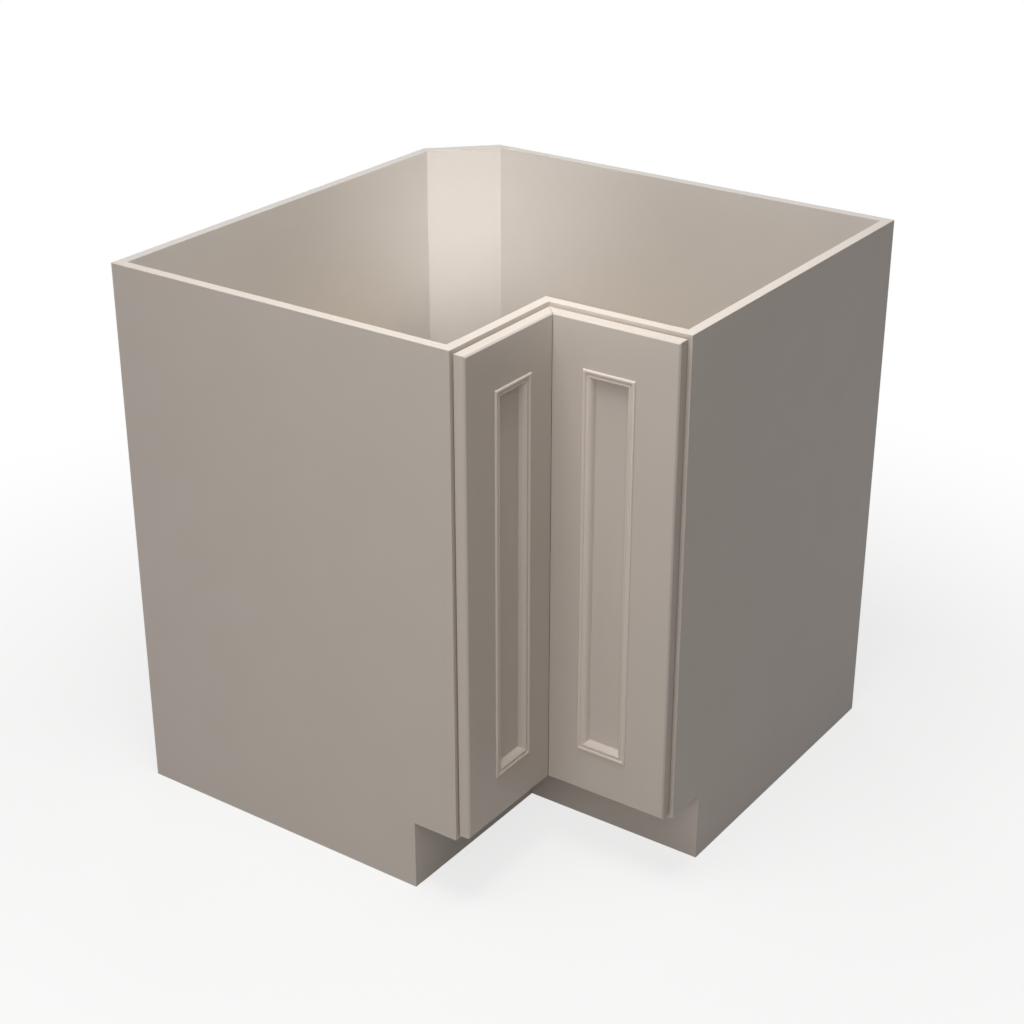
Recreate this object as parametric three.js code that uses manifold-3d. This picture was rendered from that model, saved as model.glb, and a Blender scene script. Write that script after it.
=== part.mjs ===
// A framed base cabinet for an inside kitchen corner, with a folding pair of door leaves and two
// turning trays. Millimetres, +Z up. The plan is square, and its middle, on the floor, is the origin.
//
// The pieces are laid out from the outer front corner of the left wing, with x and y along the two
// walls. Seen from above, with the room's corner at the top left:
//
//       y = WIDTH   ,----------------------------.
//                  /  corner panel, right back    | right
//                 |                               | side
//       left back |        trays                  | panel
//                 |              ,----------------'
//                 |             |  y = NOTCH        right wing, faces -y
//                 |             |
//       y = 0     `-------------'
//          x = 0    left side    x = DEPTH          left wing, faces +x

import * as THREE from 'three';
import { mergeVertices } from 'three/addons/utils/BufferGeometryUtils.js';
import Module from 'manifold-3d';

const wasm = await Module();
wasm.setup();

// ---------------------------------------------------------------- driving dimensions

const INCH = 25.4;

// Overall
const DEPTH = 24 * INCH; // of each wing
const WING_FRONT = 9 * INCH; // the width of each wing's front, up to the inner corner
const HEIGHT = 34.5 * INCH; // without a worktop
const CORNER_CUT = 3.75 * INCH; // legs of the cut across the back corner
const TOE_HEIGHT = 4.5 * INCH;
const TOE_DEPTH = 3 * INCH; // measured from the face frame

// Carcass boards
const SIDE_THICK = 0.625 * INCH;
const BACK_THICK = 0.625 * INCH;
const CORNER_THICK = 0.75 * INCH;
const DECK_THICK = 0.625 * INCH;
const SHELF_THICK = 0.625 * INCH;
const TOE_THICK = 0.625 * INCH;
const FRAME_THICK = 0.625 * INCH;
const FRAME_STILE = 1.5 * INCH;
const FRAME_RAIL = 1.5 * INCH;
const SHELF_TOP = 19 * INCH; // above the floor
const SHELF_SETBACK = 1 * INCH; // behind the face frame
const CLEAT_OUT = 0.75 * INCH;
const CLEAT_HIGH = 1.5 * INCH;

// Door leaves
const LEAF_THICK = 18;
const LEAF_STANDOFF = 1.5; // between the frame and the back of a shut leaf
const REVEAL = 0.25 * INCH; // frame left showing round the leaves
const OUTER_STILE_SIGHT = 2.625 * INCH; // from the leaf's edge to the moulding
const INNER_STILE_SIGHT = 2 * INCH;
const RAIL_SIGHT = 2.75 * INCH;
const EDGE_EASE = 2.4; // chamfer round the front
const MITRE_GAP = 0.8; // between the leaves, along a leaf
const PANEL_THICK = 0.25 * INCH;
const PANEL_RECESS = 0.375 * INCH; // behind the leaf's front
const GROOVE_DEPTH = 9;
const PANEL_PLAY = 0.3; // all round, in the groove
const MOULD_LIP = 5; // lies on the stiles and rails
const MOULD_WIDTH = 16;
const BEAD_WIDTH = 6; // the round bead along the moulding's outer edge
const BEAD_PROUD = 2.6; // of the leaf's front
const QUIRK_WIDTH = 1.2; // the narrow hollow beside the bead
const QUIRK_PROUD = 0.2;
const OVOLO_PROUD = 0.9;
const OVOLO_DROP = 5;
const OVOLO_FILLET = 1.4; // the steep edge down to the panel
const BUMPER_RADIUS = 4;
const BUMPER_INSET = 22; // from the leaf's outer edges
const BUMPER_PLAY = 0.3;

// Concealed hinges, at the right stile
const HINGE_FROM_END = 95; // cup centre to the leaf's end
const CUP_RADIUS = 17.5;
const CUP_DEPTH = 12.7;
const CUP_WALL = 1;
const CUP_BOTTOM = 0.8;
const POCKET_PLAY = 0.3;
const FLANGE_RADIUS = 20;
const FLANGE_THICK = 0.8;
const FLANGE_LONG = 52;
const FLANGE_WIDE = 13;
const EAR_CORNER = 5;
const CUP_PIN_FROM_SIDE = 5.5; // cup-side pin to the cup's outer side
const CUP_PIN_DEPTH = 5; // below the leaf's back
const ARM_PIN_FROM_STILE = 3.1; // arm-side pin to the frame stile's edge
const ARM_PIN_DEPTH = 3;
const PIN_RADIUS = 1.5;
const PIN_PLAY = 0.3; // radial
const LINK_EYE = 2.8; // outer radius
const LINK_THICK = 2;
const LINK_HALF_WIDTH = 3.2;
const LINK_FLOOR_PLAY = 0.1; // under the link, if it lay level at the depth of its cup-side pin
// Where the link bends: distance along from the cup-side pin, and rise from its lowest bend.
const LINK_BENDS = [[4.9, 1.5], [8.3, 0], [14.6, 2.7]];
const CHEEK_PLAY = 0.3;
const CHEEK_THICK = 1.5;
const ARM_EYE = 2.4;
const ARM_WIDE = 4.4;
const ARM_TO_CUP = 1.35; // from the arm to the inside of the cup's wall, across the middle
const ARM_REACH = 34; // from the pin to the arm's back end
const ARM_WEB = 7; // from the pin to where the two cheeks join
const PLATE_THICK = 1.5;
const PLATE_LONG = 48;
const PLATE_CORNER = 3;
const PLATE_MARGIN = 0.4; // short of the stile's edge on each side

// Fold hinges, on the leaves' backs at the inner corner
const FOLD_PLATE_THICK = 1.5;
const FOLD_PLATE_WIDE = 32;
const FOLD_PLATE_LONG = 50;
const FOLD_OFFSET = 2.2; // axis, out from both leaf backs
const FOLD_BARREL = 3;
const FOLD_MIDDLE = 20; // length of the left plate's barrel
const FOLD_KNUCKLE_PLAY = 0.4; // between barrels, along the pin
const TAB_OVERLAP = 1; // where a barrel's tab runs into its plate

// Trays and their bearings
const TRAY_TO_WALL = 28.6; // from the rim to each back panel
const TRAY_TO_FRAME = 41; // from the rim to the frame's inner corner
const TRAY_THICK = 0.5 * INCH;
const RIM_THICK = 0.25 * INCH;
const RIM_HIGH = 2.25 * INCH;
const RIM_PLAY = 0.3;
const RIM_EASE = 2;
const BEARING_SQUARE = 6 * INCH;
const BEARING_PLATE = 1.6;
const BEARING_CORNER = 10; // corner radius of a plate
const BALL_RADIUS = 2.85;
const BALL_PLAY = 0.3; // over and under the balls
const BALL_CIRCLE = 52; // radius of the ring of balls
const BALL_COUNT = 16;
const RACE_WIDE = 4.5;
const RACE_PLAY = 0.5;
const CAGE_THICK = 1.6;

// Fineness of round shapes
const TRAY_SIDES = 72;
const RACE_SIDES = 48;
const BALL_SIDES = 8;
const CUP_SIDES = 32;
const PIN_SIDES = 16;
const CORNER_STEPS = 4;
const BEAD_STEPS = 6;
const TOOL_PAST = 1; // how far a cutting tool runs past the face that it cuts

// ---------------------------------------------------------------- places worked out from them

const WIDTH = DEPTH + WING_FRONT; // along each wall
const NOTCH = WING_FRONT; // y of the right wing's front, at the inner corner
const FRAME_BACK = DEPTH - FRAME_THICK; // x behind the left wing's frame
const NOTCH_BACK = NOTCH + FRAME_THICK; // y behind the right wing's frame
const RIGHT_INSIDE = WIDTH - SIDE_THICK;
const WALL_INSIDE = WIDTH - BACK_THICK;
const TOE_X = DEPTH - TOE_DEPTH;
const TOE_Y = NOTCH + TOE_DEPTH;
const DECK_TOP = TOE_HEIGHT + FRAME_RAIL;
const DECK_UNDER = DECK_TOP - DECK_THICK;
const SHELF_UNDER = SHELF_TOP - SHELF_THICK;
// The corner panel's inner face is the line y = x + CORNER_LINE.
const CORNER_LINE = WIDTH - CORNER_CUT - CORNER_THICK * Math.SQRT2;

const LEAF_LOW = TOE_HEIGHT + REVEAL;
const LEAF_HIGH = HEIGHT - REVEAL;
const LEAF_EDGE_X = WIDTH - REVEAL; // the right leaf's outer edge
const LEAF_BACK_X = DEPTH + LEAF_STANDOFF; // the left leaf's back
const LEAF_BACK_Y = NOTCH - LEAF_STANDOFF; // the right leaf's back
const LEAF_BACK_WIDTH = LEAF_EDGE_X - LEAF_BACK_X - MITRE_GAP / 2;
const LEAF_FRONT_WIDTH = LEAF_BACK_WIDTH - LEAF_THICK; // the 45 degree mitre takes a leaf's thickness
const MOULD_LEFT = OUTER_STILE_SIGHT; // along the leaf, from its outer edge
const MOULD_RIGHT = LEAF_FRONT_WIDTH - INNER_STILE_SIGHT;
const MOULD_LOW = LEAF_LOW + RAIL_SIGHT;
const MOULD_HIGH = LEAF_HIGH - RAIL_SIGHT;
const OPEN_LEFT = MOULD_LEFT + MOULD_LIP; // the opening inside the stiles and rails
const OPEN_RIGHT = MOULD_RIGHT - MOULD_LIP;
const OPEN_LOW = MOULD_LOW + MOULD_LIP;
const OPEN_HIGH = MOULD_HIGH - MOULD_LIP;
const PANEL_FRONT = LEAF_THICK - PANEL_RECESS; // depths in a leaf count from its back
const PANEL_BACK = PANEL_FRONT - PANEL_THICK;
const GROOVE_BACK = PANEL_BACK - PANEL_PLAY;
const GROOVE_FRONT = PANEL_FRONT + PANEL_PLAY;

const HINGE_HEIGHTS = { lower: LEAF_LOW + HINGE_FROM_END, upper: LEAF_HIGH - HINGE_FROM_END };
const STILE_EDGE_X = WIDTH - FRAME_STILE; // the right stile's inner edge, which carries the hinges
const ARM_SIDE_X = STILE_EDGE_X - PLATE_THICK - ARM_WIDE; // the arm's side towards the inner corner
const CUP_X = ARM_SIDE_X - ARM_TO_CUP - CUP_WALL + CUP_RADIUS;
const CUP_FROM_EDGE = LEAF_EDGE_X - CUP_X;
const CUP_PIN = [CUP_X + CUP_RADIUS - CUP_PIN_FROM_SIDE, LEAF_BACK_Y - CUP_PIN_DEPTH];
const ARM_PIN = [STILE_EDGE_X - ARM_PIN_FROM_STILE, LEAF_BACK_Y - ARM_PIN_DEPTH];
const LINK_DIP = CUP_DEPTH - CUP_BOTTOM - CUP_PIN_DEPTH - LINK_THICK / 2 - LINK_FLOOR_PLAY;
const CHEEK_IN = LINK_HALF_WIDTH + CHEEK_PLAY;
const CHEEK_OUT = CHEEK_IN + CHEEK_THICK;
const CHEEKS = [[-CHEEK_OUT, -CHEEK_IN], [CHEEK_IN, CHEEK_OUT]];
const FOLD_AXIS = [LEAF_BACK_X - FOLD_OFFSET, LEAF_BACK_Y + FOLD_OFFSET];

// The largest tray that keeps its distance from both back panels and from the frame's inner corner,
// which lies on the same diagonal as the pivot.
const CORNER_REACH = (FRAME_BACK - BACK_THICK - TRAY_TO_WALL) * Math.SQRT2;
const TRAY_RADIUS = (CORNER_REACH - TRAY_TO_FRAME) / (1 + Math.SQRT2);
const PIVOT_INSET = BACK_THICK + TRAY_TO_WALL + TRAY_RADIUS; // to each wall
const PIVOT = [PIVOT_INSET, WIDTH - PIVOT_INSET];
const TRAY_FLOORS = { lower: DECK_TOP, upper: SHELF_TOP };
const BEARING_HIGH = 2 * (BEARING_PLATE + BALL_PLAY + BALL_RADIUS);

// ---------------------------------------------------------------- materials

const paint = { color: 0xb3aaa2, roughness: 0.5, metalness: 0 };
const birch = { color: 0xd9bd92, roughness: 0.45, metalness: 0 };
const nickel = { color: 0xc4c2bd, roughness: 0.3, metalness: 1 };
const zinc = { color: 0xa9adb0, roughness: 0.4, metalness: 1 };
const nylon = { color: 0xe8e6df, roughness: 0.5, metalness: 0 };
const rubber = { color: 0xd8d8d4, roughness: 0.6, metalness: 0 };

// ---------------------------------------------------------------- shapes

// Sizes and moves a geometry in one step, so that a face that two pieces share rounds alike in both.
// u, v and w are what one unit along x, y and z becomes, and start is where the origin goes.
function carried(geometry, u, v, w, start) {
  const basis = [u, v, w].map((axis) => new THREE.Vector3(...axis));
  return geometry.applyMatrix4(new THREE.Matrix4().makeBasis(...basis).setPosition(...start));
}

function box([x0, x1], [y0, y1], [z0, z1]) {
  const middle = [(x0 + x1) / 2, (y0 + y1) / 2, (z0 + z1) / 2];
  return carried(new THREE.BoxGeometry(1, 1, 1), [x1 - x0, 0, 0], [0, y1 - y0, 0], [0, 0, z1 - z0], middle);
}

// An outline in (x, y), one unit thick.
function slab(outline, holes = []) {
  const shape = new THREE.Shape(outline.map(([x, y]) => new THREE.Vector2(x, y)));
  for (const hole of holes) shape.holes.push(new THREE.Path(hole.map(([x, y]) => new THREE.Vector2(x, y))));
  return new THREE.ExtrudeGeometry(shape, { depth: 1, bevelEnabled: false });
}

// A plan outline, raised from z0 to z1.
function prism(outline, [z0, z1], holes = []) {
  return carried(slab(outline, holes), [1, 0, 0], [0, 1, 0], [0, 0, z1 - z0], [0, 0, z0]);
}

// An outline in (y, z), drawn out from x0 to x1.
function alongX(outline, [x0, x1]) {
  return carried(slab(outline), [0, 1, 0], [0, 0, 1], [x1 - x0, 0, 0], [x0, 0, 0]);
}

// An outline in (x, z), drawn out from y0 to y1.
function alongY(outline, [y0, y1]) {
  return carried(slab(outline), [1, 0, 0], [0, 0, 1], [0, y0 - y1, 0], [0, y1, 0]);
}

function circle([cx, cy], radius, sides) {
  return Array.from({ length: sides }, (_, i) => {
    const angle = (2 * Math.PI * (i + 0.5)) / sides;
    return [cx + radius * Math.cos(angle), cy + radius * Math.sin(angle)];
  });
}

function roundedRectangle([cx, cy], wide, high, radius) {
  const points = [];
  for (let corner = 0; corner < 4; corner += 1) {
    const sx = corner === 0 || corner === 3 ? 1 : -1;
    const sy = corner < 2 ? 1 : -1;
    for (let step = 0; step <= CORNER_STEPS; step += 1) {
      const angle = ((corner + step / CORNER_STEPS) * Math.PI) / 2;
      points.push([cx + sx * (wide / 2 - radius) + radius * Math.cos(angle),
        cy + sy * (high / 2 - radius) + radius * Math.sin(angle)]);
    }
  }
  return points;
}

// Turned about the vertical axis, from (radius, height) points.
function turned(profile, sides) {
  const points = profile.map(([r, z]) => new THREE.Vector2(r, z));
  return new THREE.LatheGeometry(points, sides).rotateX(Math.PI / 2);
}

function solid(geometry) {
  const plain = geometry.clone();
  plain.deleteAttribute('normal');
  plain.deleteAttribute('uv');
  const merged = mergeVertices(plain, 1e-4);
  const mesh = new wasm.Mesh({
    numProp: 3,
    vertProperties: new Float32Array(merged.attributes.position.array),
    triVerts: new Uint32Array(merged.index.array),
  });
  mesh.merge();
  return new wasm.Manifold(mesh);
}

function geometryOf(body) {
  const mesh = body.getMesh();
  const geometry = new THREE.BufferGeometry();
  geometry.setAttribute('position', new THREE.BufferAttribute(new Float32Array(mesh.vertProperties), 3));
  geometry.setIndex(new THREE.BufferAttribute(new Uint32Array(mesh.triVerts), 1));
  return geometry;
}

function join(...geometries) {
  return geometryOf(geometries.map(solid).reduce((sum, next) => sum.add(next)));
}

function cut(geometry, ...tools) {
  return geometryOf(tools.map(solid).reduce((rest, tool) => rest.subtract(tool), solid(geometry)));
}

function common(first, second) {
  return geometryOf(solid(first).intersect(solid(second)));
}

const cabinet = new THREE.Group();
cabinet.position.set(-WIDTH / 2, -WIDTH / 2, 0);

function add(name, geometry, finish, parent = cabinet) {
  const mesh = new THREE.Mesh(geometry, new THREE.MeshStandardMaterial(finish));
  mesh.name = name;
  parent.add(mesh);
  return mesh;
}

// ---------------------------------------------------------------- carcass

// A side panel's outline: how far it runs towards the front, with the toe kick's notch.
function sideOutline(from, front, toe) {
  return [[from, 0], [toe, 0], [toe, TOE_HEIGHT], [front, TOE_HEIGHT], [front, HEIGHT], [from, HEIGHT]];
}

function addWalls() {
  add('left_side_panel', alongY(sideOutline(0, FRAME_BACK, TOE_X), [0, SIDE_THICK]), paint);
  add('right_side_panel', alongX(sideOutline(WIDTH, NOTCH_BACK, TOE_Y), [RIGHT_INSIDE, WIDTH]), paint);

  const cutLeft = [0, WIDTH - CORNER_CUT];
  const cutRight = [CORNER_CUT, WIDTH];
  const innerLeft = [BACK_THICK, BACK_THICK + CORNER_LINE];
  const innerRight = [WALL_INSIDE - CORNER_LINE, WALL_INSIDE];
  const tall = [0, HEIGHT];
  add('left_back_panel', prism([[0, SIDE_THICK], [BACK_THICK, SIDE_THICK], innerLeft, cutLeft], tall), paint);
  add('corner_back_panel', prism([cutLeft, innerLeft, innerRight, cutRight], tall), paint);
  add('right_back_panel',
    prism([cutRight, innerRight, [RIGHT_INSIDE, WALL_INSIDE], [RIGHT_INSIDE, WIDTH]], tall), paint);
}

// The L-shaped plan inside the walls, held back from the frame by a setback.
function insidePlan(setback) {
  const frontX = FRAME_BACK - setback;
  const frontY = NOTCH_BACK + setback;
  return [
    [BACK_THICK, SIDE_THICK], [frontX, SIDE_THICK], [frontX, frontY], [RIGHT_INSIDE, frontY],
    [RIGHT_INSIDE, WALL_INSIDE], [WALL_INSIDE - CORNER_LINE, WALL_INSIDE],
    [BACK_THICK, BACK_THICK + CORNER_LINE],
  ];
}

function addFloors() {
  add('floor_deck', prism(insidePlan(0), [DECK_UNDER, DECK_TOP]), paint);
  add('middle_shelf', prism(insidePlan(SHELF_SETBACK), [SHELF_UNDER, SHELF_TOP]), paint);

  const high = [SHELF_UNDER - CLEAT_HIGH, SHELF_UNDER];
  const sideX = [BACK_THICK + CLEAT_OUT, FRAME_BACK - SHELF_SETBACK];
  const sideY = [NOTCH_BACK + SHELF_SETBACK, WALL_INSIDE - CLEAT_OUT];
  const cornerY = BACK_THICK + CORNER_LINE;
  const cornerX = WALL_INSIDE - CORNER_LINE;
  add('shelf_cleat_left_side', box(sideX, [SIDE_THICK, SIDE_THICK + CLEAT_OUT], high), paint);
  add('shelf_cleat_right_side', box([RIGHT_INSIDE - CLEAT_OUT, RIGHT_INSIDE], sideY, high), paint);
  add('shelf_cleat_left_back', box([BACK_THICK, BACK_THICK + CLEAT_OUT], [SIDE_THICK, cornerY], high), paint);
  add('shelf_cleat_right_back',
    box([cornerX, RIGHT_INSIDE], [WALL_INSIDE - CLEAT_OUT, WALL_INSIDE], high), paint);
}

function addToeBoards() {
  const high = [0, DECK_UNDER];
  add('left_toe_board', box([TOE_X - TOE_THICK, TOE_X], [SIDE_THICK, TOE_Y + TOE_THICK], high), paint);
  add('right_toe_board', box([TOE_X, RIGHT_INSIDE], [TOE_Y, TOE_Y + TOE_THICK], high), paint);
}

function addFaceFrame() {
  const tall = [TOE_HEIGHT, HEIGHT];
  const top = [HEIGHT - FRAME_RAIL, HEIGHT];
  const bottom = [TOE_HEIGHT, DECK_TOP];
  const leftPlane = [FRAME_BACK, DEPTH];
  const rightPlane = [NOTCH, NOTCH_BACK];
  const leftSpan = [FRAME_STILE, NOTCH_BACK]; // the left rails carry on past the corner
  const rightSpan = [DEPTH, STILE_EDGE_X];
  add('frame_left_stile', box(leftPlane, [0, FRAME_STILE], tall), paint);
  add('frame_right_stile', box([STILE_EDGE_X, WIDTH], rightPlane, tall), paint);
  add('frame_left_top_rail', box(leftPlane, leftSpan, top), paint);
  add('frame_right_top_rail', box(rightSpan, rightPlane, top), paint);
  add('frame_left_bottom_rail', box(leftPlane, leftSpan, bottom), paint);
  add('frame_right_bottom_rail', box(rightSpan, rightPlane, bottom), paint);
}

// ---------------------------------------------------------------- door leaves

// A leaf is laid out with x from its outer edge towards the inner corner and y from its back to its
// front. The left leaf is the right one mirrored, so its y counts the other way.

function leafEdgeProfile(side) {
  return [
    [0, LEAF_LOW], [side * (LEAF_THICK - EDGE_EASE), LEAF_LOW], [side * LEAF_THICK, LEAF_LOW + EDGE_EASE],
    [side * LEAF_THICK, LEAF_HIGH - EDGE_EASE], [side * (LEAF_THICK - EDGE_EASE), LEAF_HIGH], [0, LEAF_HIGH],
  ];
}

function outerStile(side) {
  const plan = [
    [0, 0], [OPEN_LEFT, 0], [OPEN_LEFT, GROOVE_BACK], [OPEN_LEFT - GROOVE_DEPTH, GROOVE_BACK],
    [OPEN_LEFT - GROOVE_DEPTH, GROOVE_FRONT], [OPEN_LEFT, GROOVE_FRONT], [OPEN_LEFT, LEAF_THICK],
    [EDGE_EASE, LEAF_THICK], [0, LEAF_THICK - EDGE_EASE],
  ].map(([x, y]) => [x, side * y]);
  return common(prism(plan, [LEAF_LOW, LEAF_HIGH]), alongX(leafEdgeProfile(side), [0, OPEN_LEFT]));
}

function innerStile(side) {
  const plan = [
    [OPEN_RIGHT, 0], [LEAF_BACK_WIDTH, 0], [LEAF_FRONT_WIDTH, LEAF_THICK], [OPEN_RIGHT, LEAF_THICK],
    [OPEN_RIGHT, GROOVE_FRONT], [OPEN_RIGHT + GROOVE_DEPTH, GROOVE_FRONT],
    [OPEN_RIGHT + GROOVE_DEPTH, GROOVE_BACK], [OPEN_RIGHT, GROOVE_BACK],
  ].map(([x, y]) => [x, side * y]);
  const edges = alongX(leafEdgeProfile(side), [OPEN_RIGHT, LEAF_BACK_WIDTH]);
  return common(prism(plan, [LEAF_LOW, LEAF_HIGH]), edges);
}

// One rail, from its outer edge at z = edge to the panel's opening. The tenon at each end fills the
// stile's groove, out to the leaf's edge.
function leafRail(side, edge, open) {
  const inward = Math.sign(open - edge);
  const grooveFloor = open - inward * GROOVE_DEPTH;
  const section = [
    [0, edge], [LEAF_THICK - EDGE_EASE, edge], [LEAF_THICK, edge + inward * EDGE_EASE], [LEAF_THICK, open],
    [GROOVE_FRONT, open], [GROOVE_FRONT, grooveFloor], [GROOVE_BACK, grooveFloor], [GROOVE_BACK, open],
    [0, open],
  ].map(([y, z]) => [side * y, z]);
  const tenon = box([OPEN_LEFT - GROOVE_DEPTH, OPEN_RIGHT + GROOVE_DEPTH],
    [side * GROOVE_BACK, side * GROOVE_FRONT].sort((a, b) => a - b),
    [edge, grooveFloor].sort((a, b) => a - b));
  return join(alongX(section, [OPEN_LEFT, OPEN_RIGHT]), tenon);
}

function leafPanel(side) {
  const reach = GROOVE_DEPTH - PANEL_PLAY;
  return box([OPEN_LEFT - reach, OPEN_RIGHT + reach],
    [side * PANEL_BACK, side * PANEL_FRONT].sort((a, b) => a - b), [OPEN_LOW - reach, OPEN_HIGH + reach]);
}

// The bead moulding's section: (inward from its outer edge, depth from the leaf's back).
function mouldingSection() {
  const face = LEAF_THICK;
  const points = [[0, face]];
  for (let i = 1; i < BEAD_STEPS; i += 1) {
    const angle = Math.PI * (1 - i / BEAD_STEPS);
    points.push([(BEAD_WIDTH / 2) * (1 + Math.cos(angle)), face + BEAD_PROUD * Math.sin(angle)]);
  }
  points.push([BEAD_WIDTH, face + QUIRK_PROUD]);
  const ovoloStart = BEAD_WIDTH + QUIRK_WIDTH;
  const ovoloEnd = MOULD_WIDTH - OVOLO_FILLET;
  for (let i = 0; i <= BEAD_STEPS; i += 1) {
    const angle = (Math.PI / 2) * (i / BEAD_STEPS);
    points.push([ovoloStart + (ovoloEnd - ovoloStart) * Math.sin(angle),
      face + OVOLO_PROUD - OVOLO_DROP * (1 - Math.cos(angle))]);
  }
  const rebate = MOULD_LIP + PANEL_PLAY;
  points.push([MOULD_WIDTH, PANEL_FRONT], [rebate, PANEL_FRONT], [rebate, face]);
  return points;
}

// The section carried round the panel, mitred at the four corners.
function moulding(side) {
  const section = mouldingSection();
  const corners = [
    [MOULD_LEFT, MOULD_LOW, 1, 1], [MOULD_RIGHT, MOULD_LOW, -1, 1],
    [MOULD_RIGHT, MOULD_HIGH, -1, -1], [MOULD_LEFT, MOULD_HIGH, 1, -1],
  ];
  const position = corners.flatMap(([x, z, inX, inZ]) =>
    section.flatMap(([inward, y]) => [x + inX * inward, side * y, z + inZ * inward]));
  const index = [];
  const count = section.length;
  for (let corner = 0; corner < corners.length; corner += 1) {
    for (let i = 0; i < count; i += 1) {
      const j = (i + 1) % count;
      const here = corner * count;
      const next = ((corner + 1) % corners.length) * count;
      const [b, d] = side > 0 ? [here + j, next + i] : [next + i, here + j];
      index.push(here + i, b, next + j, here + i, next + j, d);
    }
  }
  const geometry = new THREE.BufferGeometry();
  geometry.setAttribute('position', new THREE.Float32BufferAttribute(position, 3));
  geometry.setIndex(index);
  return geometry;
}

// The cup's pocket, bored into the back of the right leaf's outer stile.
function cupPocket(height) {
  const radius = CUP_RADIUS + POCKET_PLAY;
  const depth = CUP_DEPTH + POCKET_PLAY;
  return turned([[0, -TOOL_PAST], [radius, -TOOL_PAST], [radius, depth], [0, depth]], CUP_SIDES)
    .rotateX(-Math.PI / 2).translate(CUP_FROM_EDGE, 0, height);
}

function addLeaf(name, side, parent) {
  const pockets = side > 0 ? Object.values(HINGE_HEIGHTS).map(cupPocket) : [];
  add(`${name}_outer_stile`, cut(outerStile(side), ...pockets), paint, parent);
  add(`${name}_inner_stile`, innerStile(side), paint, parent);
  add(`${name}_bottom_rail`, leafRail(side, LEAF_LOW, OPEN_LOW), paint, parent);
  add(`${name}_top_rail`, leafRail(side, LEAF_HIGH, OPEN_HIGH), paint, parent);
  add(`${name}_panel`, leafPanel(side), paint, parent);
  add(`${name}_moulding`, moulding(side), paint, parent);
}

function addLeaves() {
  const right = new THREE.Group();
  right.position.set(LEAF_EDGE_X, LEAF_BACK_Y, 0);
  right.rotation.z = Math.PI;
  cabinet.add(right);
  addLeaf('right_leaf', 1, right);

  const left = new THREE.Group();
  left.position.set(LEAF_BACK_X, REVEAL, 0);
  left.rotation.z = Math.PI / 2;
  cabinet.add(left);
  addLeaf('left_leaf', -1, left);

  const bumper = circle([0, 0], BUMPER_RADIUS, PIN_SIDES);
  const heights = { lower: LEAF_LOW + BUMPER_INSET, upper: LEAF_HIGH - BUMPER_INSET };
  for (const [level, height] of Object.entries(heights)) {
    const pad = alongX(bumper, [BUMPER_PLAY - LEAF_STANDOFF, 0]);
    add(`${level}_bumper`, pad, rubber).position.set(LEAF_BACK_X, REVEAL + BUMPER_INSET, height);
  }
}

// ---------------------------------------------------------------- concealed hinges

// A strip of constant thickness along a path, as an outline.
function strip(path, thickness) {
  const sideOf = (sign) => path.map((point, i) => {
    const before = path[Math.max(i - 1, 0)];
    const after = path[Math.min(i + 1, path.length - 1)];
    const length = Math.hypot(after[0] - before[0], after[1] - before[1]);
    const normal = [-(after[1] - before[1]) / length, (after[0] - before[0]) / length];
    return [point[0] + (sign * normal[0] * thickness) / 2, point[1] + (sign * normal[1] * thickness) / 2];
  });
  return [...sideOf(1), ...sideOf(-1).reverse()];
}

// The link bows round the cup's lip when the leaf stands open, and dips into the cup when it is shut.
function hingeLink() {
  const reachX = ARM_PIN[0] - CUP_PIN[0];
  const reachY = ARM_PIN[1] - CUP_PIN[1];
  const ends = [[0, 0], [Math.hypot(reachX, reachY), 0]];
  const wide = [-LINK_HALF_WIDTH, LINK_HALF_WIDTH];
  const past = [-LINK_HALF_WIDTH - TOOL_PAST, LINK_HALF_WIDTH + TOOL_PAST];
  const eyes = ends.map((centre) => prism(circle(centre, LINK_EYE, PIN_SIDES), wide));
  const bores = ends.map((centre) => prism(circle(centre, PIN_RADIUS + PIN_PLAY, PIN_SIDES), past));
  const bends = LINK_BENDS.map(([along, rise]) => [along, LINK_DIP - rise]);
  const body = prism(strip([ends[0], ...bends, ends[1]], LINK_THICK), wide);
  const link = cut(join(body, ...eyes), ...bores);
  return link.rotateZ(Math.atan2(reachY, reachX)).translate(CUP_PIN[0], CUP_PIN[1], 0);
}

function hingeCup() {
  const inner = CUP_RADIUS - CUP_WALL;
  const top = CUP_DEPTH + FLANGE_THICK;
  const bowl = turned([
    [0, 0], [CUP_RADIUS, 0], [CUP_RADIUS, CUP_DEPTH], [FLANGE_RADIUS, CUP_DEPTH], [FLANGE_RADIUS, top],
    [inner, top], [inner, CUP_BOTTOM], [0, CUP_BOTTOM],
  ], CUP_SIDES);
  const ears = prism(roundedRectangle([0, 0], FLANGE_WIDE, FLANGE_LONG, EAR_CORNER), [CUP_DEPTH, top]);
  const mouth = prism(circle([0, 0], CUP_RADIUS, CUP_SIDES), [CUP_DEPTH - TOOL_PAST, top + TOOL_PAST]);
  const shell = join(bowl, cut(ears, mouth)).rotateX(-Math.PI / 2);
  shell.translate(CUP_X, LEAF_BACK_Y - CUP_DEPTH, 0);
  const wallInside = CUP_X + Math.sqrt(inner ** 2 - CHEEK_IN ** 2);
  const cheekX = [CUP_PIN[0] - LINK_EYE, wallInside + CUP_WALL / 4];
  const cheekY = [CUP_PIN[1] - LINK_EYE, CUP_PIN[1] + LINK_EYE];
  const cheeks = CHEEKS.map((span) => box(cheekX, cheekY, span));
  const pin = prism(circle(CUP_PIN, PIN_RADIUS, PIN_SIDES), [-CHEEK_OUT, CHEEK_OUT]);
  return join(shell, ...cheeks, pin);
}

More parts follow.
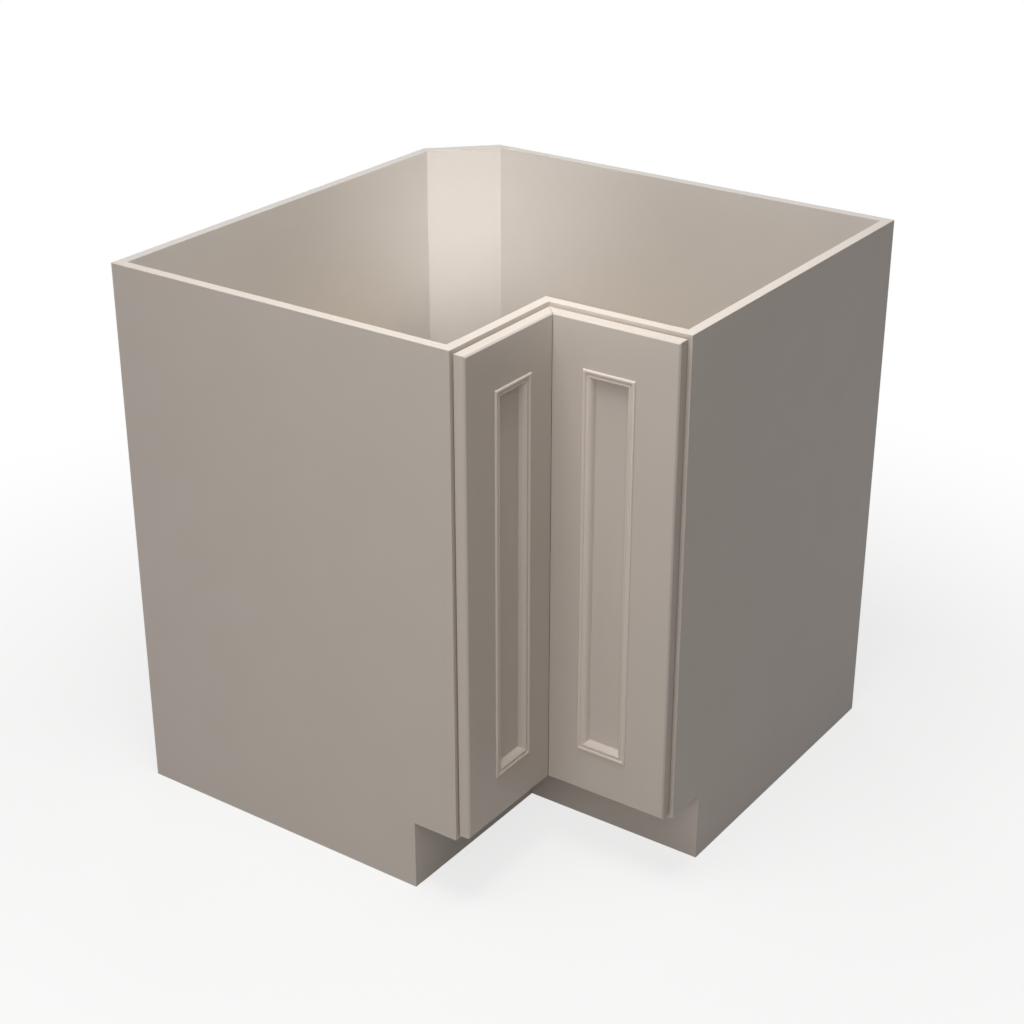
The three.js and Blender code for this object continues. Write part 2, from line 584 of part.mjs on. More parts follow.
function hingeArm() {
  const back = ARM_PIN[1] + ARM_REACH;
  const bodyX = [ARM_SIDE_X, ARM_SIDE_X + ARM_WIDE];
  const web = box(bodyX, [ARM_PIN[1] + ARM_WEB, back], [-CHEEK_OUT, CHEEK_OUT]);
  const cheeks = CHEEKS.flatMap((span) => [
    prism(circle(ARM_PIN, ARM_EYE, PIN_SIDES), span),
    box(bodyX, [ARM_PIN[1], ARM_PIN[1] + ARM_WEB + TOOL_PAST], span),
  ]);
  const pin = prism(circle(ARM_PIN, PIN_RADIUS, PIN_SIDES), [-CHEEK_OUT, CHEEK_OUT]);
  return join(web, ...cheeks, pin);
}

function addHinges() {
  const plateMiddle = NOTCH + FRAME_THICK / 2;
  const plateWide = FRAME_THICK - 2 * PLATE_MARGIN;
  for (const [level, height] of Object.entries(HINGE_HEIGHTS)) {
    const hinge = new THREE.Group();
    hinge.position.z = height;
    cabinet.add(hinge);
    const outline = roundedRectangle([plateMiddle, 0], plateWide, PLATE_LONG, PLATE_CORNER);
    add(`${level}_hinge_plate`, alongX(outline, [STILE_EDGE_X - PLATE_THICK, STILE_EDGE_X]), nickel, hinge);
    add(`${level}_hinge_arm`, hingeArm(), nickel, hinge);
    add(`${level}_hinge_link`, hingeLink(), nickel, hinge);
    add(`${level}_hinge_cup`, hingeCup(), nickel, hinge);
  }
}

// ---------------------------------------------------------------- fold hinges

// One barrel with the tab that carries it, at the heights given.
function foldBarrel(tab, heights) {
  const barrel = prism(circle(FOLD_AXIS, FOLD_BARREL, PIN_SIDES), heights);
  const past = [heights[0] - TOOL_PAST, heights[1] + TOOL_PAST];
  const bore = prism(circle(FOLD_AXIS, PIN_RADIUS + PIN_PLAY, PIN_SIDES), past);
  return cut(join(barrel, box(...tab, heights)), bore);
}

function addFoldHinges() {
  const half = FOLD_PLATE_LONG / 2;
  const middle = FOLD_MIDDLE / 2;
  const clear = middle + FOLD_KNUCKLE_PLAY;
  const behindY = [LEAF_BACK_Y, LEAF_BACK_Y + FOLD_PLATE_THICK];
  const throughY = [behindY[0] - TOOL_PAST, behindY[1] + TOOL_PAST];
  const behindX = [LEAF_BACK_X - FOLD_PLATE_THICK, LEAF_BACK_X];
  const tabRoot = MITRE_GAP / 2 + FOLD_BARREL;
  for (const [level, height] of Object.entries(HINGE_HEIGHTS)) {
    const hinge = new THREE.Group();
    hinge.position.z = height;
    cabinet.add(hinge);

    const rightTab = [[FOLD_AXIS[0] + PIN_RADIUS, LEAF_BACK_X + tabRoot], behindY];
    const rightPlate = box([LEAF_BACK_X + MITRE_GAP, LEAF_BACK_X + FOLD_PLATE_WIDE], behindY, [-half, half]);
    const middleGap = box([LEAF_BACK_X, LEAF_BACK_X + tabRoot - TAB_OVERLAP], throughY, [-clear, clear]);
    add(`${level}_fold_right_plate`, join(cut(rightPlate, middleGap), foldBarrel(rightTab, [-half, -clear]),
      foldBarrel(rightTab, [clear, half])), nickel, hinge);

    const leftTab = [behindX, [LEAF_BACK_Y - tabRoot, FOLD_AXIS[1] - PIN_RADIUS]];
    const leftSpan = [LEAF_BACK_Y - FOLD_PLATE_WIDE, LEAF_BACK_Y - tabRoot + TAB_OVERLAP];
    const leftPlate = box(behindX, leftSpan, [-half, half]);
    add(`${level}_fold_left_plate`, join(leftPlate, foldBarrel(leftTab, [-middle, middle])), nickel, hinge);

    add(`${level}_fold_pin`, prism(circle(FOLD_AXIS, PIN_RADIUS, PIN_SIDES), [-half, half]), nickel, hinge);
  }
}

// ---------------------------------------------------------------- trays and bearings

// A race plate: a square plate with a low ring on one face. The ring stands inside or outside the balls.
function racePlate(ringInner, ringHigh) {
  const outline = roundedRectangle([0, 0], BEARING_SQUARE, BEARING_SQUARE, BEARING_CORNER);
  const plate = prism(outline, [0, BEARING_PLATE]);
  const ringOuter = ringInner + RACE_WIDE;
  const ring = turned([[ringInner, BEARING_PLATE / 2], [ringOuter, BEARING_PLATE / 2], [ringOuter, ringHigh],
    [ringInner, ringHigh], [ringInner, BEARING_PLATE / 2]], RACE_SIDES);
  return join(plate, ring);
}

function ballCage() {
  const halfWide = BALL_RADIUS - RACE_PLAY;
  const ring = turned([
    [BALL_CIRCLE - halfWide, -CAGE_THICK / 2], [BALL_CIRCLE + halfWide, -CAGE_THICK / 2],
    [BALL_CIRCLE + halfWide, CAGE_THICK / 2], [BALL_CIRCLE - halfWide, CAGE_THICK / 2],
    [BALL_CIRCLE - halfWide, -CAGE_THICK / 2],
  ], RACE_SIDES);
  const balls = Array.from({ length: BALL_COUNT }, (_, i) => {
    const angle = (2 * Math.PI * i) / BALL_COUNT;
    return new THREE.SphereGeometry(BALL_RADIUS, BALL_SIDES, BALL_SIDES / 2).rotateX(Math.PI / 2)
      .translate(BALL_CIRCLE * Math.cos(angle), BALL_CIRCLE * Math.sin(angle), 0);
  });
  return join(ring, ...balls);
}

function trayRim() {
  const inner = TRAY_RADIUS - RIM_THICK;
  return turned([
    [inner, 0], [TRAY_RADIUS, 0], [TRAY_RADIUS, RIM_HIGH - RIM_EASE], [TRAY_RADIUS - RIM_EASE, RIM_HIGH],
    [inner + RIM_EASE, RIM_HIGH], [inner, RIM_HIGH - RIM_EASE], [inner, 0],
  ], TRAY_SIDES);
}

function addCarousels() {
  const ringHigh = BEARING_HIGH - BEARING_PLATE - RACE_PLAY;
  const innerRing = BALL_CIRCLE - BALL_RADIUS - RACE_PLAY - RACE_WIDE;
  const outerRing = BALL_CIRCLE + BALL_RADIUS + RACE_PLAY;
  for (const [level, floor] of Object.entries(TRAY_FLOORS)) {
    const carousel = new THREE.Group();
    carousel.position.set(...PIVOT, floor);
    cabinet.add(carousel);
    add(`${level}_bearing_base`, racePlate(innerRing, ringHigh), zinc, carousel);
    const top = racePlate(outerRing, ringHigh).rotateX(Math.PI).translate(0, 0, BEARING_HIGH);
    add(`${level}_bearing_top`, top, zinc, carousel);
    add(`${level}_bearing_cage`, ballCage(), nylon, carousel).position.z = BEARING_HIGH / 2;
    const boardRadius = TRAY_RADIUS - RIM_THICK - RIM_PLAY;
    const boardSection = [[0, 0], [boardRadius, 0], [boardRadius, TRAY_THICK], [0, TRAY_THICK]];
    const board = turned(boardSection, TRAY_SIDES);
    add(`${level}_tray_board`, board, birch, carousel).position.z = BEARING_HIGH;
    add(`${level}_tray_rim`, trayRim(), birch, carousel).position.z = BEARING_HIGH;
  }
}

// ---------------------------------------------------------------- the whole cabinet

addWalls();
addFloors();
addToeBoards();
addFaceFrame();
addLeaves();
addHinges();
addFoldHinges();
addCarousels();

export default cabinet;
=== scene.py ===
"""A framed base cabinet for an inside kitchen corner, dressed for a photograph: sprayed taupe paint on
eased boards, bead mouldings, nickel hinges, birch trays on their swivel bearings. Metres, +Z up."""

import math

import bmesh
import bpy
from mathutils import Matrix, Vector
from mathutils.bvhtree import BVHTree


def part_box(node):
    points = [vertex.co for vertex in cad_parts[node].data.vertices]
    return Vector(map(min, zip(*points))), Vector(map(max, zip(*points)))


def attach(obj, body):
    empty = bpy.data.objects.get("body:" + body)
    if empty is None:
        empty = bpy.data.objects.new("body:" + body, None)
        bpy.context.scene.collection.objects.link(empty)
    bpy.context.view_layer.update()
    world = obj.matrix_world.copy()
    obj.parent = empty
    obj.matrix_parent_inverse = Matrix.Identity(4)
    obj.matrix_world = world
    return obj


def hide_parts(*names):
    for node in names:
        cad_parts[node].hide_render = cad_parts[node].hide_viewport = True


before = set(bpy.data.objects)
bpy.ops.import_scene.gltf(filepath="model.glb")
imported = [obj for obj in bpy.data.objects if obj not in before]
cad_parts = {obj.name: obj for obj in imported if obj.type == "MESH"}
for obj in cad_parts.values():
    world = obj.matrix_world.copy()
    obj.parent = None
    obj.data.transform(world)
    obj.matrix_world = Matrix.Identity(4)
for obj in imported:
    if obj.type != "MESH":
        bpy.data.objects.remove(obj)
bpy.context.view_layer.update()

MM = 0.001

# ---------------------------------------------------------------- sizes that the frame doesn't give

# How far paint and presses round an open edge, and the chamfer that shows a joint between two boards
BOARD_EASE = 0.9 * MM
LEAF_EASE = 0.6 * MM
METAL_EASE = 0.25 * MM
HAIRLINE = 0.1 * MM
EASE_SEGMENTS = 3
SHARP_ANGLE = math.radians(28)
SQUARE_ANGLE = math.radians(60)  # an edge still sharper than this after rounding lies at a joint
CREASE_ANGLE = math.radians(50)
TOUCHING = 0.05 * MM
SAME_POINT = 0.001 * MM
CAD_MERGE = 0.005 * MM  # joins a CAD node's loose triangles
FLAT_ANGLE = math.radians(0.5)  # faces this near to one plane become one face
LATHE_CREASE = math.radians(40)  # turned pieces and mouldings are shaded smooth
MOULD_CREASE = math.radians(35)  # where they bend by less than this

# How meets_neighbour feels for another piece: where along an edge, how far in from it, how far out
EDGE_SHARES = (0.02, 0.2, 0.5, 0.8, 0.98)
PROBE_IN = 0.6 * MM
PROBE_OUT = 0.02 * MM

# The bead moulding's section, from its outer edge inwards
MOULD_WIDTH = 16 * MM
BEAD_WIDTH = 5.6 * MM
COVE_WIDTH = 3 * MM
COVE_PROUD = 0.1 * MM
NOSE_RADIUS = 1.2 * MM
OVOLO_DROP = 5.4 * MM
OVOLO_FROM = math.radians(25)  # how steeply the ovolo falls away at its start,
OVOLO_TO = math.radians(65)  # and at its end
OVOLO_FILLET = 1.4 * MM
MOULD_LIP = 5.3 * MM
CURVE_STEPS = 10

# Trays and bearings
RIM_THICK = 6.35 * MM
TRAY_EDGE = 0.8 * MM
TRAY_STEPS = 192
BUMPER_STEPS = 32
BUMPER_SHOULDER = 0.35  # the share of a bumper's thickness that is upright side, below its dome
BALL_RADIUS = 2.85 * MM
BALL_CIRCLE = 52 * MM
BALL_COUNT = 16
CAGE_WIDE = 4.7 * MM
CAGE_THICK = 1.6 * MM
CAGE_STEPS = 96

# Screws and brads: the radius of their heads, and how far from a plate's end or edge they sit
WOOD_SCREW = 4 * MM
HINGE_SCREW = 3.2 * MM
TRAY_SCREW = 4.5 * MM
RIM_BRAD = 1.3 * MM
RIM_BRAD_COUNT = 24
CLEAT_SCREW_COUNT = 4
CLEAT_SCREW_INSET = 40 * MM
PLATE_SCREW_INSET = 6 * MM
CUP_SCREW_INSET = 5 * MM
FOLD_SCREW_INSET = 8 * MM
FOLD_SCREW_SPACING = 16 * MM
FOLD_SCREW_COUNT = 3
FOLD_PLATE_THICK = 1.5 * MM
BEARING_SCREW_INSET = 12 * MM
SCREW_PROUD = 0.02 * MM  # keeps a head's face from lying in its plate's

# A screw head of radius 1: its cross recess, and how it narrows below
HEAD_SIDES = 20
CROSS_ARM = 0.14  # half the width of an arm
CROSS_REACH = 0.55
CROSS_RISE = 0.02
CROSS_DEPTH = 0.35
CROSS_TAPER = 0.8
SHANK_SHARE = 0.6
SHANK_DEPTH = 0.45

# ---------------------------------------------------------------- colours and node trees

MIX_FACTOR, MIX_A, MIX_B, MIX_RESULT = 0, 6, 7, 2  # a Mix node's sockets, where it mixes colours
NOISE_REACH = {"From Min": 0.3, "From Max": 0.7}  # where most of a noise's values lie


def linear(hex_colour):
    """An sRGB hex colour as linear RGBA."""
    parts = [int(hex_colour[i:i + 2], 16) / 255 for i in (1, 3, 5)]
    return [p / 12.92 if p <= 0.04045 else ((p + 0.055) / 1.055) ** 2.4 for p in parts] + [1.0]


def add_node(tree, kind, values=None, links=None, **settings):
    """Adds a node with its settings, then the values of its sockets and the links into them. A socket
    goes by its name or its number."""
    made = tree.nodes.new(kind)
    for name, setting in settings.items():
        setattr(made, name, setting)
    for socket, value in (values or {}).items():
        made.inputs[socket].default_value = value
    for socket, source in (links or {}).items():
        tree.links.new(source, made.inputs[socket])
    return made


def new_material(name, values):
    """A material with one Principled shader, and the plain numbers and colours of its sockets."""
    material = bpy.data.materials.new(name)
    material.use_nodes = True
    tree = material.node_tree
    tree.nodes.clear()
    shader = add_node(tree, "ShaderNodeBsdfPrincipled", values)
    add_node(tree, "ShaderNodeOutputMaterial", links={"Surface": shader.outputs["BSDF"]})
    return material, tree, shader


# ---------------------------------------------------------------- materials

PAINT = "#cbc1b8"
PAINT_SHADE = "#c7bdb3"
WALL_PAINT = "#c5bfb9"  # the back panels' paint, a little greyer, because light that goes
WALL_PAINT_SHADE = "#c1bbb5"  # from wall to wall comes back warmer each time
MOULD_HIGHLIGHT_PAINT = "#dacfc5"  # the mouldings' paint, a little paler than the rest: a painted highlight, standing in for the light their small curves catch
MOULD_HIGHLIGHT_PAINT_SHADE = "#d6cbc1"  # in the photograph
PAINT_CLOUD = 90 * MM  # blotches of slightly thicker and thinner paint
PAINT_SHEEN = 40 * MM  # patches that dried a little more or less glossy
PAINT_SMOOTHEST, PAINT_ROUGHEST = 0.4, 0.43
PAINT_SPECULAR = 0.3  # lower than the IOR gives, because the photograph shows no glare
PAINT_GRAIN = 2.2 * MM  # spacing of the board's grain lines under the paint
PAINT_STRETCH = 0.04  # these lines run 25 times as long as they are wide
PAINT_RELIEF = 0.1 * MM
ORANGE_PEEL = 1.5 * MM


def taupe_paint(name, grain, pale=PAINT, shade=PAINT_SHADE):
    """Sprayed satin varnish paint over maple and fibreboard. It gives the eye a broad soft highlight, a
    barely uneven colour, fine orange peel, and the board's grain faintly raised along its length."""
    material, tree, shader = new_material(name, {"IOR": 1.5, "Specular IOR Level": PAINT_SPECULAR})
    place = add_node(tree, "ShaderNodeTexCoord").outputs["Object"]
    cloud = add_node(tree, "ShaderNodeTexNoise", {"Scale": 1 / PAINT_CLOUD}, {"Vector": place})
    tint = add_node(tree, "ShaderNodeMix", {MIX_A: linear(shade), MIX_B: linear(pale)},
                    {MIX_FACTOR: cloud.outputs["Fac"]}, data_type="RGBA")
    patch = add_node(tree, "ShaderNodeTexNoise", {"Scale": 1 / PAINT_SHEEN}, {"Vector": place})
    gloss = add_node(tree, "ShaderNodeMapRange",
                     {**NOISE_REACH, "To Min": PAINT_SMOOTHEST, "To Max": PAINT_ROUGHEST},
                     {"Value": patch.outputs["Fac"]})
    along = add_node(tree, "ShaderNodeMapping", {"Scale": grain}, {"Vector": place})
    fibres = add_node(tree, "ShaderNodeTexNoise", {"Scale": 1 / PAINT_GRAIN},
                      {"Vector": along.outputs["Vector"]})
    raised = add_node(tree, "ShaderNodeBump", {"Strength": 0.1, "Distance": PAINT_RELIEF},
                      {"Height": fibres.outputs["Fac"]})
    peel = add_node(tree, "ShaderNodeTexNoise", {"Scale": 1 / ORANGE_PEEL, "Detail": 1.0},
                    {"Vector": place})
    skin = add_node(tree, "ShaderNodeBump", {"Strength": 0.12, "Distance": PAINT_RELIEF},
                    {"Height": peel.outputs["Fac"], "Normal": raised.outputs["Normal"]})
    tree.links.new(tint.outputs[MIX_RESULT], shader.inputs["Base Color"])
    tree.links.new(gloss.outputs["Result"], shader.inputs["Roughness"])
    tree.links.new(skin.outputs["Normal"], shader.inputs["Normal"])
    return material


BIRCH_LIGHT = "#e9dcc4"
BIRCH_DARK = "#d6c3a4"
BIRCH_PORE = "#b79f7b"
FIGURE_WIDTH = 9 * MM  # one band of the figure, across the grain
FIGURE_WANDER = 60 * MM  # how far apart the figure's bends are, across the grain
FIGURE_SHIFT = 30 * MM
PORE_WIDTH = 0.9 * MM  # drawn coarser than the real 0.1 mm, so that it shows
PORE_RELIEF = 0.08 * MM
GRAIN_STRETCH = 0.06  # figure and pores run about 17 times as long as they are wide
BIRCH_SMOOTHEST, BIRCH_ROUGHEST = 0.38, 0.48


def birch_veneer(name, coordinates):
    """Rotary-cut birch face veneer under clear water-based lacquer. It gives the eye a pale cream wood
    with broad soft figure along the grain, short fine pores and a low sheen."""
    material, tree, shader = new_material(name, {"IOR": 1.5, "Coat Weight": 0.2, "Coat Roughness": 0.28})
    place = add_node(tree, "ShaderNodeTexCoord").outputs[coordinates]
    along = add_node(tree, "ShaderNodeMapping", {"Scale": (GRAIN_STRETCH, 1, 1)}, {"Vector": place})
    bends = add_node(tree, "ShaderNodeTexNoise", {"Scale": 1 / FIGURE_WANDER, "Detail": 2.0},
                     {"Vector": along.outputs["Vector"]})
    wandering = add_node(tree, "ShaderNodeVectorMath", {1: (FIGURE_SHIFT, FIGURE_SHIFT, FIGURE_SHIFT)},
                         {0: bends.outputs["Color"], 2: along.outputs["Vector"]}, operation="MULTIPLY_ADD")
    figure = add_node(tree, "ShaderNodeTexNoise",
                      {"Scale": 1 / FIGURE_WIDTH, "Detail": 5.0, "Roughness": 0.6},
                      {"Vector": wandering.outputs["Vector"]})
    bands = add_node(tree, "ShaderNodeMapRange", NOISE_REACH,
                     {"Value": figure.outputs["Fac"]})
    wood = add_node(tree, "ShaderNodeMix", {MIX_A: linear(BIRCH_DARK), MIX_B: linear(BIRCH_LIGHT)},
                    {MIX_FACTOR: bands.outputs["Result"]}, data_type="RGBA")
    pores = add_node(tree, "ShaderNodeTexNoise", {"Scale": 1 / PORE_WIDTH, "Detail": 2.0, "Roughness": 0.7},
                     {"Vector": along.outputs["Vector"]})
    open_pores = add_node(tree, "ShaderNodeMapRange", {"From Min": 0.28, "From Max": 0.42},
                          {"Value": pores.outputs["Fac"]})
    colour = add_node(tree, "ShaderNodeMix", {MIX_A: linear(BIRCH_PORE)},
                      {MIX_FACTOR: open_pores.outputs["Result"], MIX_B: wood.outputs[MIX_RESULT]},
                      data_type="RGBA")
    gloss = add_node(tree, "ShaderNodeMapRange",
                     {**NOISE_REACH, "To Min": BIRCH_SMOOTHEST, "To Max": BIRCH_ROUGHEST},
                     {"Value": figure.outputs["Fac"]})
    dents = add_node(tree, "ShaderNodeBump", {"Strength": 0.15, "Distance": PORE_RELIEF},
                     {"Height": pores.outputs["Fac"]})
    tree.links.new(colour.outputs[MIX_RESULT], shader.inputs["Base Color"])
    tree.links.new(gloss.outputs["Result"], shader.inputs["Roughness"])
    tree.links.new(dents.outputs["Normal"], shader.inputs["Normal"])
    return material


DRAW_MARKS = 0.5 * MM
MARK_STRETCH = 12
MARK_RELIEF = 0.03 * MM
CLOUD_GLOSS = 0.07  # how much rougher or smoother the cloudy plating gets, each way


def plated_steel(name, light, shade, roughness, cloud_size):
    """Pressed steel under bright plating. It gives the eye a clean metal reflection, blurred a little,
    faintly cloudy where the plating varies, with fine marks from drawing the strip."""
    material, tree, shader = new_material(name, {"Metallic": 1.0})
    place = add_node(tree, "ShaderNodeTexCoord").outputs["Object"]
    cloud = add_node(tree, "ShaderNodeTexNoise", {"Scale": 1 / cloud_size}, {"Vector": place})
    tint = add_node(tree, "ShaderNodeMix", {MIX_A: linear(shade), MIX_B: linear(light)},
                    {MIX_FACTOR: cloud.outputs["Fac"]}, data_type="RGBA")
    gloss = add_node(tree, "ShaderNodeMapRange",
                     {**NOISE_REACH, "To Min": roughness - CLOUD_GLOSS, "To Max": roughness + CLOUD_GLOSS},
                     {"Value": cloud.outputs["Fac"]})
    drawn = add_node(tree, "ShaderNodeMapping", {"Scale": (1, 1, MARK_STRETCH)}, {"Vector": place})
    marks = add_node(tree, "ShaderNodeTexNoise", {"Scale": 1 / DRAW_MARKS, "Detail": 1.0},
                     {"Vector": drawn.outputs["Vector"]})
    lines = add_node(tree, "ShaderNodeBump", {"Strength": 0.08, "Distance": MARK_RELIEF},
                     {"Height": marks.outputs["Fac"]})
    tree.links.new(tint.outputs[MIX_RESULT], shader.inputs["Base Color"])
    tree.links.new(gloss.outputs["Result"], shader.inputs["Roughness"])
    tree.links.new(lines.outputs["Normal"], shader.inputs["Normal"])
    return material


NYLON_CLOUD = 6 * MM


def moulded_nylon():
    """Natural injection-moulded nylon. It gives the eye a milky, slightly waxy off-white."""
    material, tree, shader = new_material("moulded_nylon", {
        "Roughness": 0.42, "IOR": 1.53, "Subsurface Weight": 0.15, "Subsurface Scale": 2 * MM})
    place = add_node(tree, "ShaderNodeTexCoord").outputs["Object"]
    cloud = add_node(tree, "ShaderNodeTexNoise", {"Scale": 1 / NYLON_CLOUD}, {"Vector": place})
    tint = add_node(tree, "ShaderNodeMix", {MIX_A: linear("#dedbd0"), MIX_B: linear("#ece9e0")},
                    {MIX_FACTOR: cloud.outputs["Fac"]}, data_type="RGBA")
    tree.links.new(tint.outputs[MIX_RESULT], shader.inputs["Base Color"])
    return material


RUBBER_HAZE = 1.2 * MM
RUBBER_SMOOTHEST, RUBBER_ROUGHEST = 0.12, 0.3


def clear_polyurethane():
    """Soft cast polyurethane of a stick-on bumper. It gives the eye a clear drop with a hazy skin."""
    material, tree, shader = new_material("clear_polyurethane", {
        "IOR": 1.49, "Transmission Weight": 0.7, "Base Color": linear("#eceae4")})
    place = add_node(tree, "ShaderNodeTexCoord").outputs["Object"]
    haze = add_node(tree, "ShaderNodeTexNoise", {"Scale": 1 / RUBBER_HAZE}, {"Vector": place})
    gloss = add_node(tree, "ShaderNodeMapRange",
                     {**NOISE_REACH, "To Min": RUBBER_SMOOTHEST, "To Max": RUBBER_ROUGHEST},
                     {"Value": haze.outputs["Fac"]})
    tree.links.new(gloss.outputs["Result"], shader.inputs["Roughness"])
    return material


# The grain under the paint runs along each board, so its pattern is stretched that way.
UPRIGHT = (1, 1, PAINT_STRETCH)
paint_upright = taupe_paint("taupe_paint_upright", UPRIGHT)
paint_along_x = taupe_paint("taupe_paint_along_x", (PAINT_STRETCH, 1, 1))
paint_along_y = taupe_paint("taupe_paint_along_y", (1, PAINT_STRETCH, 1))
paint_walls = taupe_paint("taupe_paint_walls", UPRIGHT, WALL_PAINT, WALL_PAINT_SHADE)
# The mouldings' paler paint is a painted highlight on their curves.
paint_mouldings_with_highlight = taupe_paint("taupe_paint_mouldings", UPRIGHT, MOULD_HIGHLIGHT_PAINT, MOULD_HIGHLIGHT_PAINT_SHADE)
birch_face = birch_veneer("birch_face_veneer", "Object")
birch_bent = birch_veneer("birch_bent_band", "UV")
nickel_plate = plated_steel("nickel_plate", "#cfccc6", "#bdbab3", 0.27, 14 * MM)
zinc_plate = plated_steel("zinc_plate", "#b9bdbf", "#a3a8ab", 0.37, 5 * MM)
screw_steel = plated_steel("screw_steel", "#c2c3c2", "#a9abab", 0.31, 3 * MM)
cage_nylon = moulded_nylon()
bumper_rubber = clear_polyurethane()

# ---------------------------------------------------------------- mesh helpers


def register(piece, body, replaced=()):
    """Makes a piece move with a body, and hides the nodes it replaces."""
    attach(piece, body)
    if replaced:
        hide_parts(*replaced)
    return piece


def link_object(name, mesh, *materials):
    made = bpy.data.objects.new(name, mesh)
    bpy.context.scene.collection.objects.link(made)
    for material in materials:
        mesh.materials.append(material)
    return made


def mesh_from(work, name):
    """Writes a bmesh into a new mesh and frees it."""
    mesh = bpy.data.meshes.new(name)
    work.to_mesh(mesh)
    work.free()
    return mesh


def baked(piece):
    """Applies a piece's modifiers: the evaluated result becomes its plain mesh."""
    bpy.context.view_layer.update()
    graph = bpy.context.evaluated_depsgraph_get()
    mesh = bpy.data.meshes.new_from_object(piece.evaluated_get(graph), depsgraph=graph)
    rough = piece.data
    piece.modifiers.clear()
    piece.data = mesh
    bpy.data.meshes.remove(rough)
    mesh.name = piece.name
    return piece


def merged_copy(node):
    """A CAD node's mesh with its loose triangles joined and its flat faces made whole."""
    work = bmesh.new()
    work.from_mesh(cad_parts[node].data)
    bmesh.ops.remove_doubles(work, verts=work.verts, dist=CAD_MERGE)
    bmesh.ops.dissolve_limit(work, angle_limit=FLAT_ANGLE, verts=work.verts, edges=work.edges)
    return work


surfaces = {}
for cad_name, cad_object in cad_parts.items():
    shape = bmesh.new()
    shape.from_mesh(cad_object.data)
    surfaces[cad_name] = BVHTree.FromBMesh(shape)
    shape.free()


def meets_neighbour(node, edge):
    """Whether another piece lies against either face beside this edge, anywhere along it."""
    first, second = (v.co for v in edge.verts)
    for share in EDGE_SHARES:
        on_edge = first.lerp(second, share)
        for face in edge.link_faces:
            inward = face.normal.cross(second - first).normalized()
            if (face.calc_center_median() - on_edge).dot(inward) < 0:
                inward = -inward
            probe = on_edge + inward * PROBE_IN + face.normal * PROBE_OUT
            for other, surface in surfaces.items():
                if other != node and surface.find_nearest(probe, TOUCHING)[0] is not None:
                    return True
    return False


def shade(mesh):
    """Smooth shading in which a wide face outweighs the narrow strips beside it, so that flat faces stay
    flat up to their rounded edges."""
    around = [[] for _ in mesh.vertices]
    for face in mesh.polygons:
        for vertex in face.vertices:
            around[vertex].append(face)
    normals = []
    for face in mesh.polygons:
        for vertex in face.vertices:
            blended = Vector()
            for other in around[vertex]:
                if other.normal.dot(face.normal) > math.cos(CREASE_ANGLE):
                    blended += other.area ** 2 * other.normal
            normals.append(blended.normalized())
    mesh.shade_smooth()
    mesh.normals_split_custom_set(normals)


def eased(node, material, body, width=BOARD_EASE):
    """A CAD node with its open edges rounded, and a hairline chamfer where it meets its neighbours."""
    work = merged_copy(node)
    open_edges = [edge for edge in work.edges
                  if edge.is_convex and edge.calc_face_angle(0) > SHARP_ANGLE
                  and not meets_neighbour(node, edge)]
    bmesh.ops.bevel(work, geom=open_edges, offset=width, segments=EASE_SEGMENTS, profile=0.5,
                    affect="EDGES", clamp_overlap=True)
    bmesh.ops.remove_doubles(work, verts=work.verts, dist=0.2 * HAIRLINE)
    joint_edges = [edge for edge in work.edges if edge.is_convex and edge.calc_face_angle(0) > SQUARE_ANGLE]
    bmesh.ops.bevel(work, geom=joint_edges, offset=HAIRLINE, segments=1, profile=0.5, affect="EDGES")
    bmesh.ops.remove_doubles(work, verts=work.verts, dist=0.1 * HAIRLINE)
    piece = link_object(node + "_dressed", mesh_from(work, node + "_dressed"), material)
    shade(piece.data)
    return register(piece, body, [node])


def lathe(name, profile, steps, centre, material, band_uv=False):
    """A (radius, height) profile turned about an upright axis. It closes on itself or ends on the axis.
    With band_uv, u runs round the piece and v over its section, both in metres."""
    work = bmesh.new()
    band = work.loops.layers.uv.new("band") if band_uv else None
    turns = [2 * math.pi * step / steps for step in range(steps + 1)]
    x, y, foot = centre
    rings = [[work.verts.new((x + r * math.cos(turn), y + r * math.sin(turn), foot + z)) for r, z in profile]
             for turn in turns[:-1]]
    run = [0.0]
    for (r0, z0), (r1, z1) in zip(profile, profile[1:] + profile[:1]):
        run.append(run[-1] + math.hypot(r1 - r0, z1 - z0))
    outer = max(r for r, _ in profile)
    for step in range(steps):
        here, after = rings[step], rings[(step + 1) % steps]
        for i in range(len(profile)):
            j = (i + 1) % len(profile)
            if max(profile[i][0], profile[j][0]) < SAME_POINT:
                continue
            face = work.faces.new((here[i], after[i], after[j], here[j]))
            face.smooth = True
            if band:
                corners = ((turns[step], run[i]), (turns[step + 1], run[i]),
                           (turns[step + 1], run[i + 1]), (turns[step], run[i + 1]))
                for loop, (turn, height) in zip(face.loops, corners):
                    loop[band].uv = (turn * outer, height)
    bmesh.ops.remove_doubles(work, verts=work.verts, dist=SAME_POINT)
    bmesh.ops.recalc_face_normals(work, faces=work.faces)
    piece = link_object(name, mesh_from(work, name), material)
    piece.data.set_sharp_from_angle(angle=LATHE_CREASE)
    return piece


def arc(centre, radius, start, end, steps):
    """Points on an arc, its angles in degrees."""
    angles = [math.radians(start + (end - start) * i / steps) for i in range(steps + 1)]
    return [(centre[0] + radius * math.cos(a), centre[1] + radius * math.sin(a)) for a in angles]


# ---------------------------------------------------------------- carcass and face frame

CARCASS_PAINTS = {
    paint_upright: ("left_side_panel", "right_side_panel", "frame_left_stile", "frame_right_stile"),
    paint_walls: ("left_back_panel", "corner_back_panel", "right_back_panel"),
    paint_along_x: ("floor_deck", "middle_shelf", "shelf_cleat_left_side", "shelf_cleat_right_back",
                    "right_toe_board", "frame_right_top_rail", "frame_right_bottom_rail"),
    paint_along_y: ("shelf_cleat_right_side", "shelf_cleat_left_back", "left_toe_board",
                    "frame_left_top_rail", "frame_left_bottom_rail"),
}


